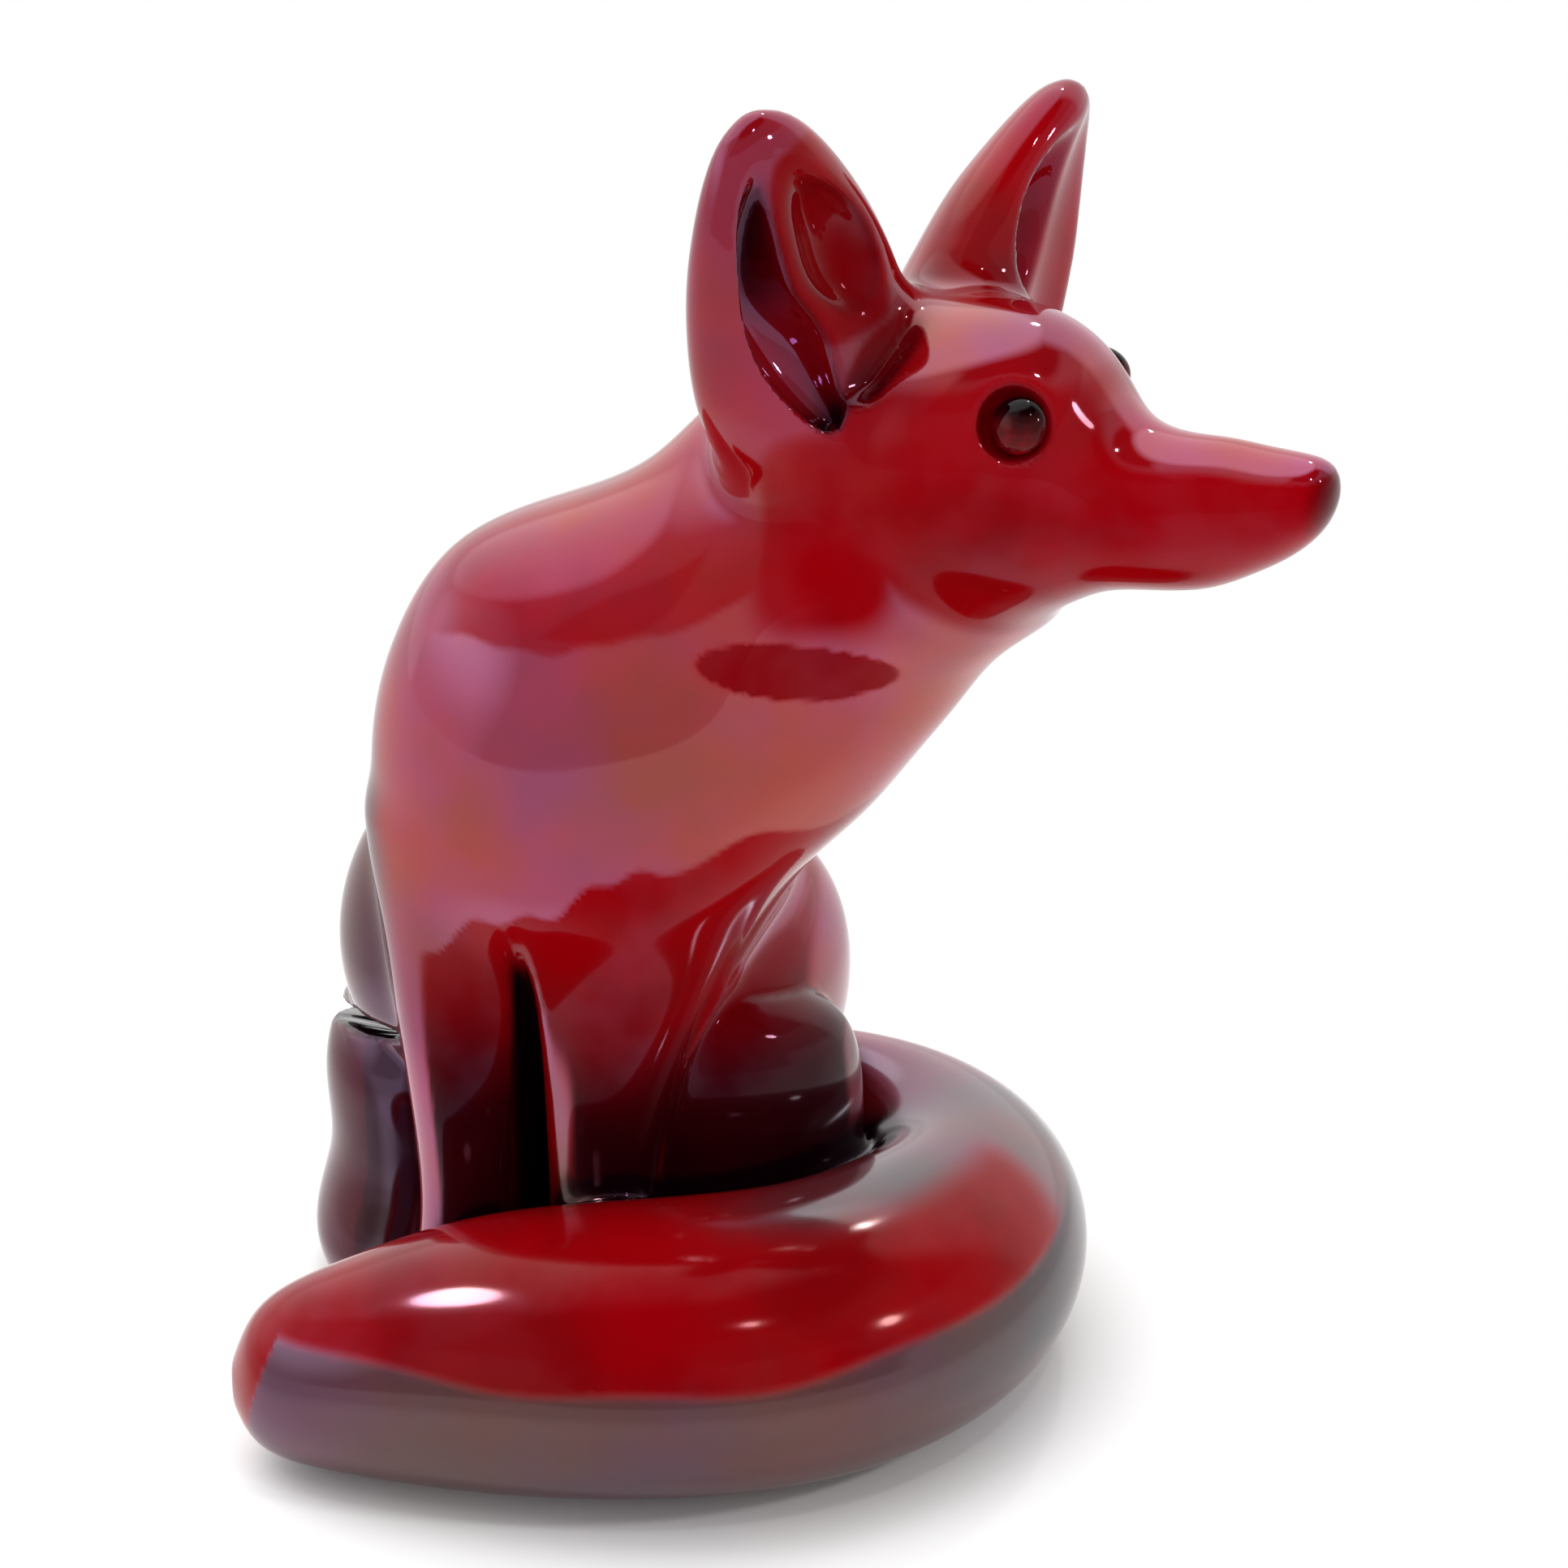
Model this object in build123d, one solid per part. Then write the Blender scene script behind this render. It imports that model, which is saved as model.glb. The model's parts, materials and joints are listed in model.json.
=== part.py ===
"""A seated fox figurine: a slip-cast ceramic ornament, luted together from its cast and hand-made sections.

The fox sits with its forelegs together and its tail curled round its left side and across its paws, and
looks over its left shoulder. Lengths are millimetres. +Z is up, the fox's chest faces -Y and its left is +X.
The origin lies on the ground, under the middle of the haunches.
"""
import os
from math import cos, radians, sin

from build123d import *

# Torso and neck, one hollow casting from the ground to the neck's seam
body_height = 75.0  # ground to the middle of the neck's seam
body_width = 45.0  # across the shoulders
body_depth = 39.0  # front to back at the haunches
neck_reach = 25.8  # how far the neck's seam stands to the fox's left
neck_lean = 34.0  # degrees, the seam's tilt towards the fox's left
shoulder_twist = 20.0  # degrees, how far the shoulders turn to the left
wall = 4.0  # cast wall, everywhere
vent_bore = 6.0  # hole under the torso that lets the kiln's air out
vent_back = 6.0  # how far behind the origin it is drilled
foot_flat = 0.5  # how much of each rounded underside is wiped off flat

# Head, cast by itself and luted on at the neck's seam
head_length = 44.6
head_height = 26.8
head_width = 24.4
head_rise = 5.8  # skull's middle above the middle of the neck's seam
head_forward = 9.7  # skull's middle past the seam's middle, to the fox's left
head_set = 1.9  # and towards the fox's front
head_turn = 80.0  # degrees, the muzzle's direction from straight ahead, to the left

# Ears, rolled by hand and pressed onto the skull
ear_width = 21.6
right_ear_height = 28.5
left_ear_height = 29.5
right_ear_depth = 12.0
left_ear_depth = 14.0
right_ear_turn = 20.0  # degrees, how far its hollow faces outwards
left_ear_turn = 10.0
right_ear_splay = 15.0  # degrees from upright, outwards
left_ear_splay = 23.0
right_ear_sweep = -4.0  # degrees from upright, towards the muzzle
left_ear_sweep = 13.0

# Eyes, round pellets pressed into drilled sockets
eye_socket = 6.0
eye_socket_depth = 2.0
eye_pellet = 4.6
eye_height_angle = 34.0  # degrees above the head's widest line

# Forelegs
foreleg_height = 48.0
foreleg_width = 11.2
foreleg_depth = 13.0
foreleg_spacing = 11.6  # between the middles of the two
foreleg_turn = 10.0  # degrees, the right one stands forward of the left
foreleg_side = 1.9  # their midpoint, to the fox's left
foreleg_front = 20.0  # and in front of the origin

# Haunches
haunch_width = 23.0
haunch_length = 33.0
haunch_height = 30.0
right_haunch_proud = 6.1  # how far it stands out past the torso's side
left_haunch_proud = 4.7
right_haunch_up = 32.5
left_haunch_up = 27.5
right_haunch_back = 0.5
left_haunch_back = 4.0

# Hind feet, with the hock above each
hind_foot_width = 18.0
hind_foot_length = 22.0
hind_foot_height = 29.0
hind_foot_proud = 7.2  # how far each stands out past the torso's side
right_hind_foot_front = 4.0
left_hind_foot_front = 0.5
right_hind_foot_turn = 0.0  # degrees
left_hind_foot_turn = 20.0

# Tail
tail_side = 35.0  # its middle line's furthest place to the fox's left
tail_front = 41.5  # and in front of the origin
tail_width = 28.0
tail_height = 23.2

# One overrun for every cut
overrun = 5.0

# Each row of the torso is one ring of it, from the ground to inside the skull: across of neck_reach, back of
# body_depth, up of body_height, half width of body_width, half depth of body_depth, lean of neck_lean and
# turn of shoulder_twist
body_ring_shares = [
    (0.00, 0.010, 0.000, 0.311, 0.359, 0.00, 0.0),
    (0.00, 0.010, 0.107, 0.356, 0.436, 0.00, 0.0),
    (0.00, 0.020, 0.293, 0.367, 0.500, 0.00, 0.0),
    (0.02, -0.026, 0.480, 0.367, 0.492, 0.00, 0.4),
    (0.11, -0.110, 0.613, 0.431, 0.474, 0.03, 1.0),
    (0.19, -0.110, 0.697, 0.476, 0.449, 0.24, 1.0),
    (0.31, -0.082, 0.789, 0.500, 0.423, 0.39, 1.0),
    (0.45, -0.036, 0.859, 0.491, 0.397, 0.50, 1.0),
    (0.65, 0.015, 0.907, 0.429, 0.372, 0.59, 1.0),
    (0.84, 0.046, 0.949, 0.382, 0.346, 0.74, 1.0),
    (1.00, 0.082, 1.000, 0.371, 0.320, 1.00, 1.0),
]

neck_end_share = 0.65  # of the seam's ring, the neck's last ring inside the skull
loin_share = 0.367  # of body_width, the torso's half width between the haunches

# Each row of the head is one ring of it, from the back of the skull to the nose: along of head_length and up
# of head_height from the skull's middle, half height of head_height, half width of head_width
head_ring_shares = [
    (-0.336, 0.082, 0.060, 0.060),
    (-0.314, 0.082, 0.224, 0.246),
    (-0.247, 0.063, 0.362, 0.402),
    (-0.135, 0.007, 0.474, 0.500),
    (0.000, 0.012, 0.488, 0.488),
    (0.112, 0.016, 0.458, 0.410),
    (0.191, 0.008, 0.380, 0.344),
    (0.269, -0.036, 0.278, 0.270),
    (0.359, -0.043, 0.245, 0.221),
    (0.448, -0.020, 0.230, 0.193),
    (0.527, 0.014, 0.193, 0.176),
    (0.594, 0.052, 0.154, 0.154),
    (0.643, 0.088, 0.102, 0.110),
    (0.664, 0.104, 0.036, 0.036),
]
eye_ring_share = 0.130  # of head_length, in front of the skull's middle
eye_half_height_share = 0.455  # the head's half height there, of head_height
eye_half_width_share = 0.398  # and its half width, of head_width

# Each row of an ear is one ring of it, from inside the skull to the tip: up of its height, half width of
# ear_width, half depth of its depth
ear_ring_shares = [
    (0.000, 0.420, 0.46),
    (0.220, 0.480, 0.50),
    (0.410, 0.463, 0.47),
    (0.590, 0.407, 0.42),
    (0.730, 0.338, 0.34),
    (0.870, 0.241, 0.24),
    (0.955, 0.144, 0.15),
    (1.000, 0.037, 0.05),
]
# The hollow that a modelling tool presses into an ear, as shares of the ear's own ring at each height: up of
# its height, width, depth, and how far the hollow's middle stands out of the ring's middle
ear_hollow_shares = [
    (0.20, 0.30, 0.30, 0.95),
    (0.30, 0.62, 0.62, 0.80),
    (0.50, 0.68, 0.74, 0.72),
    (0.70, 0.64, 0.72, 0.74),
    (0.85, 0.40, 0.46, 0.90),
]
# Where each ear is rooted, from the skull's middle: along of head_length, left of head_width, up of head_height
right_ear_root_shares = (-0.283, -0.275, 0.105)
left_ear_root_shares = (-0.231, 0.381, -0.015)

# Each row of a foreleg is one ring of it, from the ground into the chest: outwards and forwards of its own
# width and depth, up of foreleg_height, half width of foreleg_width, half depth of foreleg_depth
foreleg_ring_shares = [
    (0.00, 0.03, 0.00, 0.41, 0.46),
    (0.00, 0.00, 0.10, 0.44, 0.49),
    (0.00, -0.12, 0.25, 0.41, 0.39),
    (0.05, -0.26, 0.52, 0.45, 0.43),
    (0.15, -0.48, 0.75, 0.56, 0.54),
    (0.24, -0.82, 1.00, 0.66, 0.62),
]

# Each row of a hind foot is one ring of it, from the ground to under the haunch: outwards and forwards of its
# own width and length, up of hind_foot_height, half width and half length of its own width and length
hind_foot_ring_shares = [
    (0.02, 0.04, 0.00, 0.45, 0.50),
    (0.04, 0.05, 0.14, 0.50, 0.53),
    (0.00, 0.00, 0.42, 0.48, 0.49),
    (0.00, 0.00, 0.74, 0.48, 0.48),
    (-0.02, -0.03, 0.93, 0.39, 0.39),
    (-0.04, -0.04, 1.00, 0.20, 0.22),
]

# The tail's first ring is inside the rump, so its place follows the torso
tail_root_shares = (0.07, 0.28)  # left of body_width, back of body_depth
# Each row of the tail is one ring of it, from the rump round to the tip: left of tail_side, back of
# tail_front, up of tail_height, half width of tail_width, half height of tail_height
tail_ring_shares = [
    (0.21, 0.41, 0.366, 0.230, 0.300),
    (0.48, 0.41, 0.388, 0.260, 0.350),
    (0.75, 0.30, 0.414, 0.310, 0.397),
    (0.97, 0.06, 0.448, 0.364, 0.448),
    (1.00, -0.23, 0.483, 0.436, 0.483),
    (0.82, -0.53, 0.500, 0.496, 0.500),
    (0.45, -0.73, 0.500, 0.500, 0.500),
    (0.04, -0.85, 0.466, 0.414, 0.466),
    (-0.235, -0.93, 0.412, 0.300, 0.372),
    (-0.395, -0.975, 0.370, 0.186, 0.266),
    (-0.460, -1.00, 0.345, 0.043, 0.078),
]

points_per_ring = 16
seated = (Align.CENTER, Align.CENTER, Align.MIN)  # a cylinder standing on the plane it is given


def ring(plane, half_width, half_depth):
    """One closed oval section: points on the ellipse of these radii in the plane, joined by a closed spline."""
    points = []
    for k in range(points_per_ring):
        turn = radians(360 * k / points_per_ring)
        points.append(plane.from_local_coords(Vector(half_width * cos(turn), half_depth * sin(turn))))
    return Face(Wire(Edge.make_spline(points, periodic=True)))


def form(rings):
    """A smooth solid through rings, each a plane with its two radii."""
    return Solid.make_loft([ring(*each).outer_wire() for each in rings])


def thinned(rings, amount):
    """The same rings drawn in by the wall, leaving out those with nothing left."""
    kept = []
    for plane, half_width, half_depth in rings:
        if min(half_width, half_depth) > amount:
            kept.append((plane, half_width - amount, half_depth - amount))
    return kept


def body_rings():
    """The torso's rings, from the ground to the neck's seam."""
    rings = []
    for across, back, up, half_width, half_depth, lean, turn in body_ring_shares:
        place = Vector(across * neck_reach, back * body_depth, up * body_height)
        turned = Plane(place) * Rotation(0, 0, turn * shoulder_twist) * Rotation(0, lean * neck_lean, 0)
        rings.append((Plane(turned), half_width * body_width, half_depth * body_depth))
    return rings


def neck_end_ring():
    """The neck goes on past its seam, and closes in to this ring in the middle of the skull."""
    seam, half_width, half_depth = body_rings()[-1]
    middle = head_frame().origin
    section = Plane(origin=middle, x_dir=seam.x_dir, z_dir=middle - seam.origin)
    return section, neck_end_share * half_width, neck_end_share * half_depth


def head_frame():
    """The skull's middle, with X along the muzzle, Y to the fox's left cheek and Z up."""
    seam = body_rings()[-1][0].origin
    middle = seam + Vector(head_forward, -head_set, head_rise)
    along = Vector(sin(radians(head_turn)), -cos(radians(head_turn)))
    return Plane(origin=middle, x_dir=along, z_dir=(0, 0, 1))


def head_rings():
    """The head's rings, square to the muzzle, from the back of the skull to the nose."""
    frame = head_frame()
    rings = []
    for along, up, half_height, half_width in head_ring_shares:
        place = frame.from_local_coords(Vector(along * head_length, 0, up * head_height))
        section = Plane(origin=place, x_dir=frame.y_dir, z_dir=frame.x_dir)
        rings.append((section, half_width * head_width, half_height * head_height))
    return rings


def ear_frame(root_shares, side, turn, splay, sweep):
    """An ear's root, with Z up the ear and Y the way its hollow faces."""
    along, left, up = root_shares
    frame = head_frame()
    root = frame.from_local_coords(Vector(along * head_length, left * head_width, up * head_height))
    tip_way = Vector(sin(radians(sweep)), side * sin(radians(splay)), cos(radians(splay)))
    facing = Vector(cos(radians(turn)), side * sin(radians(turn)))
    tip_way = frame.from_local_coords(tip_way) - frame.origin
    facing = frame.from_local_coords(facing) - frame.origin
    return Plane(origin=root, x_dir=facing.cross(tip_way), z_dir=tip_way)


def ear(frame, height, whole_depth):
    """An ear: its rings from root to tip, less the hollow pressed into its face."""
    rings = []
    for up, half_width, half_depth in ear_ring_shares:
        level = frame.offset(up * height)
        rings.append((level, half_width * ear_width, half_depth * whole_depth))
    hollow = []
    for up, width, depth, out in ear_hollow_shares:
        half_width, half_depth = ear_half_sizes(up, whole_depth)
        level = frame.offset(up * height)
        place = level.from_local_coords(Vector(0, out * half_depth))
        section = Plane(origin=place, x_dir=frame.x_dir, z_dir=frame.z_dir)
        hollow.append((section, width * half_width, depth * half_depth))
    return form(rings) - form(hollow)


def ear_half_sizes(up, whole_depth):
    """The ear's half width and half depth at a share of its height, between the two rings beside it."""
    for lower, upper in zip(ear_ring_shares, ear_ring_shares[1:]):
        if lower[0] <= up <= upper[0]:
            part = (up - lower[0]) / (upper[0] - lower[0])
            half_width = lower[1] + part * (upper[1] - lower[1])
            half_depth = lower[2] + part * (upper[2] - lower[2])
            return half_width * ear_width, half_depth * whole_depth


def eye_plane(side):
    """The floor of an eye's socket, facing straight out of the head."""
    frame = head_frame()
    half_height = eye_half_height_share * head_height
    half_width = eye_half_width_share * head_width
    angle = radians(eye_height_angle)
    surface = Vector(eye_ring_share * head_length, side * half_width * cos(angle), half_height * sin(angle))
    out_way = Vector(0, side * cos(angle) / half_width, sin(angle) / half_height)
    out_way = frame.from_local_coords(out_way) - frame.origin
    surface = frame.from_local_coords(surface)
    return Plane(origin=surface - out_way.normalized() * eye_socket_depth, z_dir=out_way)


def eye(side):
    """A pellet with a flat back, seated on its socket's floor, domed out to the head's surface."""
    floor = eye_plane(side)
    dome = Sphere(eye_pellet / 2)
    front = Cylinder(eye_pellet, eye_pellet, align=seated)
    return floor * (dome & front)


def foreleg(side):
    """A foreleg, from its paw up into the chest."""
    turn = radians(foreleg_turn)
    half_gap = side * foreleg_spacing / 2
    rings = []
    for outwards, forwards, up, half_width, half_depth in foreleg_ring_shares:
        x = foreleg_side + half_gap * cos(turn) + side * outwards * foreleg_width
        y = -foreleg_front + half_gap * sin(turn) - forwards * foreleg_depth
        section = Plane((x, y, up * foreleg_height))
        rings.append((section, half_width * foreleg_width, half_depth * foreleg_depth))
    return form(rings)


def haunch(side, proud, up, back):
    """A haunch: a ball stretched to the thigh's size."""
    outer = loin_share * body_width + proud
    middle = Vector(side * (outer - haunch_width / 2), back, up)
    ball = Solid.make_sphere(1)
    stretched = ball.transform_geometry(
        Matrix([
            [haunch_width / 2, 0, 0, middle.X],
            [0, haunch_length / 2, 0, middle.Y],
            [0, 0, haunch_height / 2, middle.Z],
        ])
    )
    return stretched


def hind_foot(side, front, turn):
    """A hind foot with its hock, standing on the ground under its haunch."""
    outer = loin_share * body_width + hind_foot_proud
    centre = Plane((side * (outer - hind_foot_width / 2), -front, 0)) * Rotation(0, 0, turn)
    frame = Plane(centre)
    rings = []
    for outwards, forwards, up, half_width, half_length in hind_foot_ring_shares:
        place = Vector(
            side * outwards * hind_foot_width,
            -forwards * hind_foot_length,
            up * hind_foot_height,
        )
        section = Plane(origin=frame.from_local_coords(place), x_dir=frame.x_dir, z_dir=(0, 0, 1))
        rings.append((section, half_width * hind_foot_width, half_length * hind_foot_length))
    return form(rings)


def tail_rings():
    """The tail's rings, each square to the way its middle line runs there."""
    left, back = tail_root_shares
    first = tail_ring_shares[0]
    middles = [Vector(left * body_width, back * body_depth, first[2] * tail_height - foot_flat)]
    sizes = [(first[3] * tail_width, first[4] * tail_height)]
    for left, back, up, half_width, half_height in tail_ring_shares:
        middles.append(Vector(left * tail_side, back * tail_front, up * tail_height - foot_flat))
        sizes.append((half_width * tail_width, half_height * tail_height))
    rings = []
    for k, middle in enumerate(middles):
        before = middles[max(k - 1, 0)]
        after = middles[min(k + 1, len(middles) - 1)]
        way = Vector(after.X - before.X, after.Y - before.Y)
        section = Plane(origin=middle, x_dir=way.cross(Vector(0, 0, 1)), z_dir=way)
        rings.append((section, *sizes[k]))
    return rings


def save(name, shape):
    """Write one piece of the figurine as its own file, and say what it holds."""
    solids = shape.solids()
    print(name, len(solids), "solid", round(sum(each.volume for each in solids)), "mm3")
    export_step(shape, f"parts/{name}.step")


os.makedirs("parts", exist_ok=True)

# Outer forms of the hollow sections, and what the slip leaves empty inside them
torso_rings = body_rings()
seam = torso_rings[-1][0]
torso_rings.append(neck_end_ring())
floor_ring = (torso_rings[0][0].offset(wall), torso_rings[0][1] - wall, torso_rings[0][2] - wall)
torso_outer = form(torso_rings)
torso_inner = form([floor_ring] + thinned(torso_rings[1:], wall))
head_outer = form(head_rings())
head_inner = form(thinned(head_rings(), wall))
tail_outer = split(form(tail_rings()), bisect_by=Plane.XY, keep=Keep.TOP)
tail_inner = form(thinned(tail_rings(), wall))

# The torso and head meet face to face at the neck's seam
fox_outer = torso_outer + head_outer
fox = fox_outer - (torso_inner + head_inner)
vent = Pos(0, vent_back, 0) * Cylinder(vent_bore / 2, overrun * 2)
body_shell = split(fox, bisect_by=seam, keep=Keep.BOTTOM) - tail_inner - vent
head_shell = split(fox, bisect_by=seam, keep=Keep.TOP)
for side in (-1, 1):
    head_shell -= eye_plane(side) * Cylinder(eye_socket / 2, overrun, align=seated)

# Each later section is trimmed to the ones that it is pressed against
right_haunch = haunch(-1, right_haunch_proud, right_haunch_up, right_haunch_back)
left_haunch = haunch(1, left_haunch_proud, left_haunch_up, left_haunch_back)
right_foreleg = foreleg(-1) - torso_outer
left_foreleg = foreleg(1) - torso_outer
right_foot = hind_foot(-1, right_hind_foot_front, right_hind_foot_turn) - torso_outer - right_haunch
left_foot = hind_foot(1, left_hind_foot_front, left_hind_foot_turn) - torso_outer - left_haunch
right_foot -= right_foreleg
left_foot -= left_foreleg
right_haunch -= torso_outer
left_haunch -= torso_outer
right_foreleg -= right_haunch
left_foreleg -= left_haunch
tail = tail_outer - torso_outer
for section in (left_foot, left_foreleg, right_foreleg, right_foot):
    tail -= section
tail -= tail_inner
right_ear_place = ear_frame(right_ear_root_shares, -1, right_ear_turn, right_ear_splay, right_ear_sweep)
left_ear_place = ear_frame(left_ear_root_shares, 1, left_ear_turn, left_ear_splay, left_ear_sweep)
right_ear = ear(right_ear_place, right_ear_height, right_ear_depth) - fox_outer
left_ear = ear(left_ear_place, left_ear_height, left_ear_depth) - fox_outer

save("body_shell", body_shell)
save("head_shell", head_shell)
save("right_ear", right_ear)
save("left_ear", left_ear)
save("right_eye", eye(-1))
save("left_eye", eye(1))
save("right_foreleg", right_foreleg)
save("left_foreleg", left_foreleg)
save("right_haunch", right_haunch)
save("left_haunch", left_haunch)
save("right_hind_foot", right_foot)
save("left_hind_foot", left_foot)
save("tail", tail)
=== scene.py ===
"""A seated fox figurine in red lustre-glazed ceramic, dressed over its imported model.

The clay sections are luted together and glazed over, so the visible skin is one smooth-blended form. It
is worked out as a field of signed distances on a grid, millimetres from the skin, and then cut into the
sections. Lengths are millimetres until a mesh is written. +Z is up, the fox's chest faces -Y and its left
is +X.
"""

import json

import bpy
import numpy as np
import openvdb
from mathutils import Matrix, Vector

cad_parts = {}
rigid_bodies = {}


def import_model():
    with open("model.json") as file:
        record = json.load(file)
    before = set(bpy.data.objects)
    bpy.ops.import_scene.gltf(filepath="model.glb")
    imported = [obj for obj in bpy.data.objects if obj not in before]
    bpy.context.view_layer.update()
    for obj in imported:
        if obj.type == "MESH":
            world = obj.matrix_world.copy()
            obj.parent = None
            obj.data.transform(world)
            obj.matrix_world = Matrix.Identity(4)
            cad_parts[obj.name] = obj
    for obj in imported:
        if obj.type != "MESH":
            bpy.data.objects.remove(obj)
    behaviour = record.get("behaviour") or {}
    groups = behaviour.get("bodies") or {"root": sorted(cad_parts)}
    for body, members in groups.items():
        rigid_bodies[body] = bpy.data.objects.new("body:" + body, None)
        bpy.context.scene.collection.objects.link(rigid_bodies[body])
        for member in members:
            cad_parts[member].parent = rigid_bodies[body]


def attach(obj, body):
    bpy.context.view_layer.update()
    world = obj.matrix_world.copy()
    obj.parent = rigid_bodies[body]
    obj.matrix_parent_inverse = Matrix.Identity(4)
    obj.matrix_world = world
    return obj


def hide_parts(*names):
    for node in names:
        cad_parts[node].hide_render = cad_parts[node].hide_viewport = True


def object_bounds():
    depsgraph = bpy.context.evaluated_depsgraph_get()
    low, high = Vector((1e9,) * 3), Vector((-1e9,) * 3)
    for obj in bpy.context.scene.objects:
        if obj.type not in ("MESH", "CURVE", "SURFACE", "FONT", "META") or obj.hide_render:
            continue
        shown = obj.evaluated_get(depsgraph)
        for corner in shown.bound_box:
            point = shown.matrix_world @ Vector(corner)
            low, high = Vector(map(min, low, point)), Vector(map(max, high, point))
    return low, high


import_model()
cad_box = [list(corner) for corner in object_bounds()]

METRE = 1000.0  # millimetres

# Torso and neck
body_height = 75.0  # ground to the middle of the neck's seam
body_width = 45.0
body_depth = 39.0
neck_reach = 25.8  # how far the neck's seam stands to the fox's left
neck_lean = 34.0  # degrees
shoulder_twist = 20.0  # degrees

# Head
head_length = 44.6
head_height = 26.8
head_width = 24.4
head_rise = 5.8
head_forward = 9.7
head_set = 1.9
head_turn = 80.0  # degrees

# Ears
ear_width = 21.6
ear_heights = {"right": 28.5, "left": 29.5}
ear_depths = {"right": 12.0, "left": 14.0}
ear_turns = {"right": 20.0, "left": 10.0}  # degrees, as the next two
ear_splays = {"right": 15.0, "left": 23.0}
ear_sweeps = {"right": -4.0, "left": 13.0}

# Eyes
eye_socket = 6.0
eye_socket_depth = 2.0
eye_pellet = 4.6
eye_dome = 1.6
eye_sink = 0.6
eye_rings = 24
eye_turns = 48
eye_height_angle = 34.0  # degrees

# Legs
foreleg_height = 48.0
foreleg_width = 11.2
foreleg_depth = 13.0
foreleg_spacing = 11.6
foreleg_turn = 10.0  # degrees
foreleg_side = 1.9
foreleg_front = 20.0
haunch_width = 23.0
haunch_length = 33.0
haunch_height = 30.0
haunch_prouds = {"right": 6.1, "left": 4.7}
haunch_ups = {"right": 32.5, "left": 27.5}
haunch_backs = {"right": 0.5, "left": 4.0}
hind_foot_widths = {"right": 18.0, "left": 14.5}
hind_foot_lengths = {"right": 22.0, "left": 24.0}
hind_foot_height = 29.0
hind_foot_prouds = {"right": 7.2, "left": 6.4}
hind_foot_fronts = {"right": 4.0, "left": 6.5}
hind_foot_turns = {"right": 0.0, "left": -50.0}  # degrees
hind_foot_dips = {"right": 0.0, "left": 0.22}  # how steeply its top falls towards the heel
hind_foot_rises = {"right": 1.0, "left": 1.13}  # how much taller the glazed foot stands than its solid
crease_side = "right"  # the crease between this haunch and its foot is carved, the other is a plain seam
crease_up = 25.5
crease_width = 16.0
crease_length = 34.0
crease_gap = 1.2
crease_tilt = 20.0  # degrees, higher in front

# Tail
tail_side = 35.0
tail_front = 41.5
tail_width = 28.0
tail_height = 23.2
foot_flat = 0.5

vent_bore = 6.0
vent_back = 6.0
vent_depth = 12.0

sides = {"right": -1, "left": 1}

body_ring_shares = np.array([
    (0.00, 0.010, 0.000, 0.311, 0.359, 0.00, 0.0),
    (0.00, 0.010, 0.107, 0.356, 0.436, 0.00, 0.0),
    (0.00, 0.020, 0.293, 0.367, 0.500, 0.00, 0.0),
    (0.02, -0.026, 0.480, 0.367, 0.492, 0.00, 0.4),
    (0.11, -0.110, 0.613, 0.431, 0.474, 0.03, 1.0),
    (0.19, -0.110, 0.697, 0.476, 0.449, 0.24, 1.0),
    (0.31, -0.082, 0.789, 0.500, 0.423, 0.39, 1.0),
    (0.45, -0.036, 0.859, 0.491, 0.397, 0.50, 1.0),
    (0.65, 0.015, 0.907, 0.429, 0.372, 0.59, 1.0),
    (0.84, 0.046, 0.949, 0.382, 0.346, 0.74, 1.0),
    (1.00, 0.082, 1.000, 0.371, 0.320, 1.00, 1.0),
])
neck_end_share = 0.65
loin_share = 0.367  # of body_width, the torso's half width between the haunches

head_ring_shares = np.array([
    (-0.336, 0.082, 0.060, 0.060),
    (-0.314, 0.082, 0.224, 0.246),
    (-0.247, 0.063, 0.362, 0.402),
    (-0.135, 0.007, 0.474, 0.500),
    (0.000, 0.012, 0.488, 0.488),
    (0.112, 0.016, 0.458, 0.410),
    (0.191, 0.008, 0.380, 0.344),
    (0.269, -0.036, 0.278, 0.270),
    (0.359, -0.043, 0.245, 0.221),
    (0.448, -0.020, 0.230, 0.193),
    (0.527, 0.014, 0.193, 0.176),
    (0.594, 0.052, 0.154, 0.154),
    (0.643, 0.088, 0.102, 0.110),
    (0.664, 0.104, 0.036, 0.036),
])
eye_ring_share = 0.130
eye_half_height_share = 0.455
eye_half_width_share = 0.398

ear_ring_shares = np.array([
    (0.000, 0.420, 0.46),
    (0.220, 0.480, 0.50),
    (0.410, 0.463, 0.47),
    (0.590, 0.407, 0.42),
    (0.730, 0.338, 0.34),
    (0.870, 0.241, 0.24),
    (0.955, 0.144, 0.15),
    (1.000, 0.037, 0.05),
])
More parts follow.
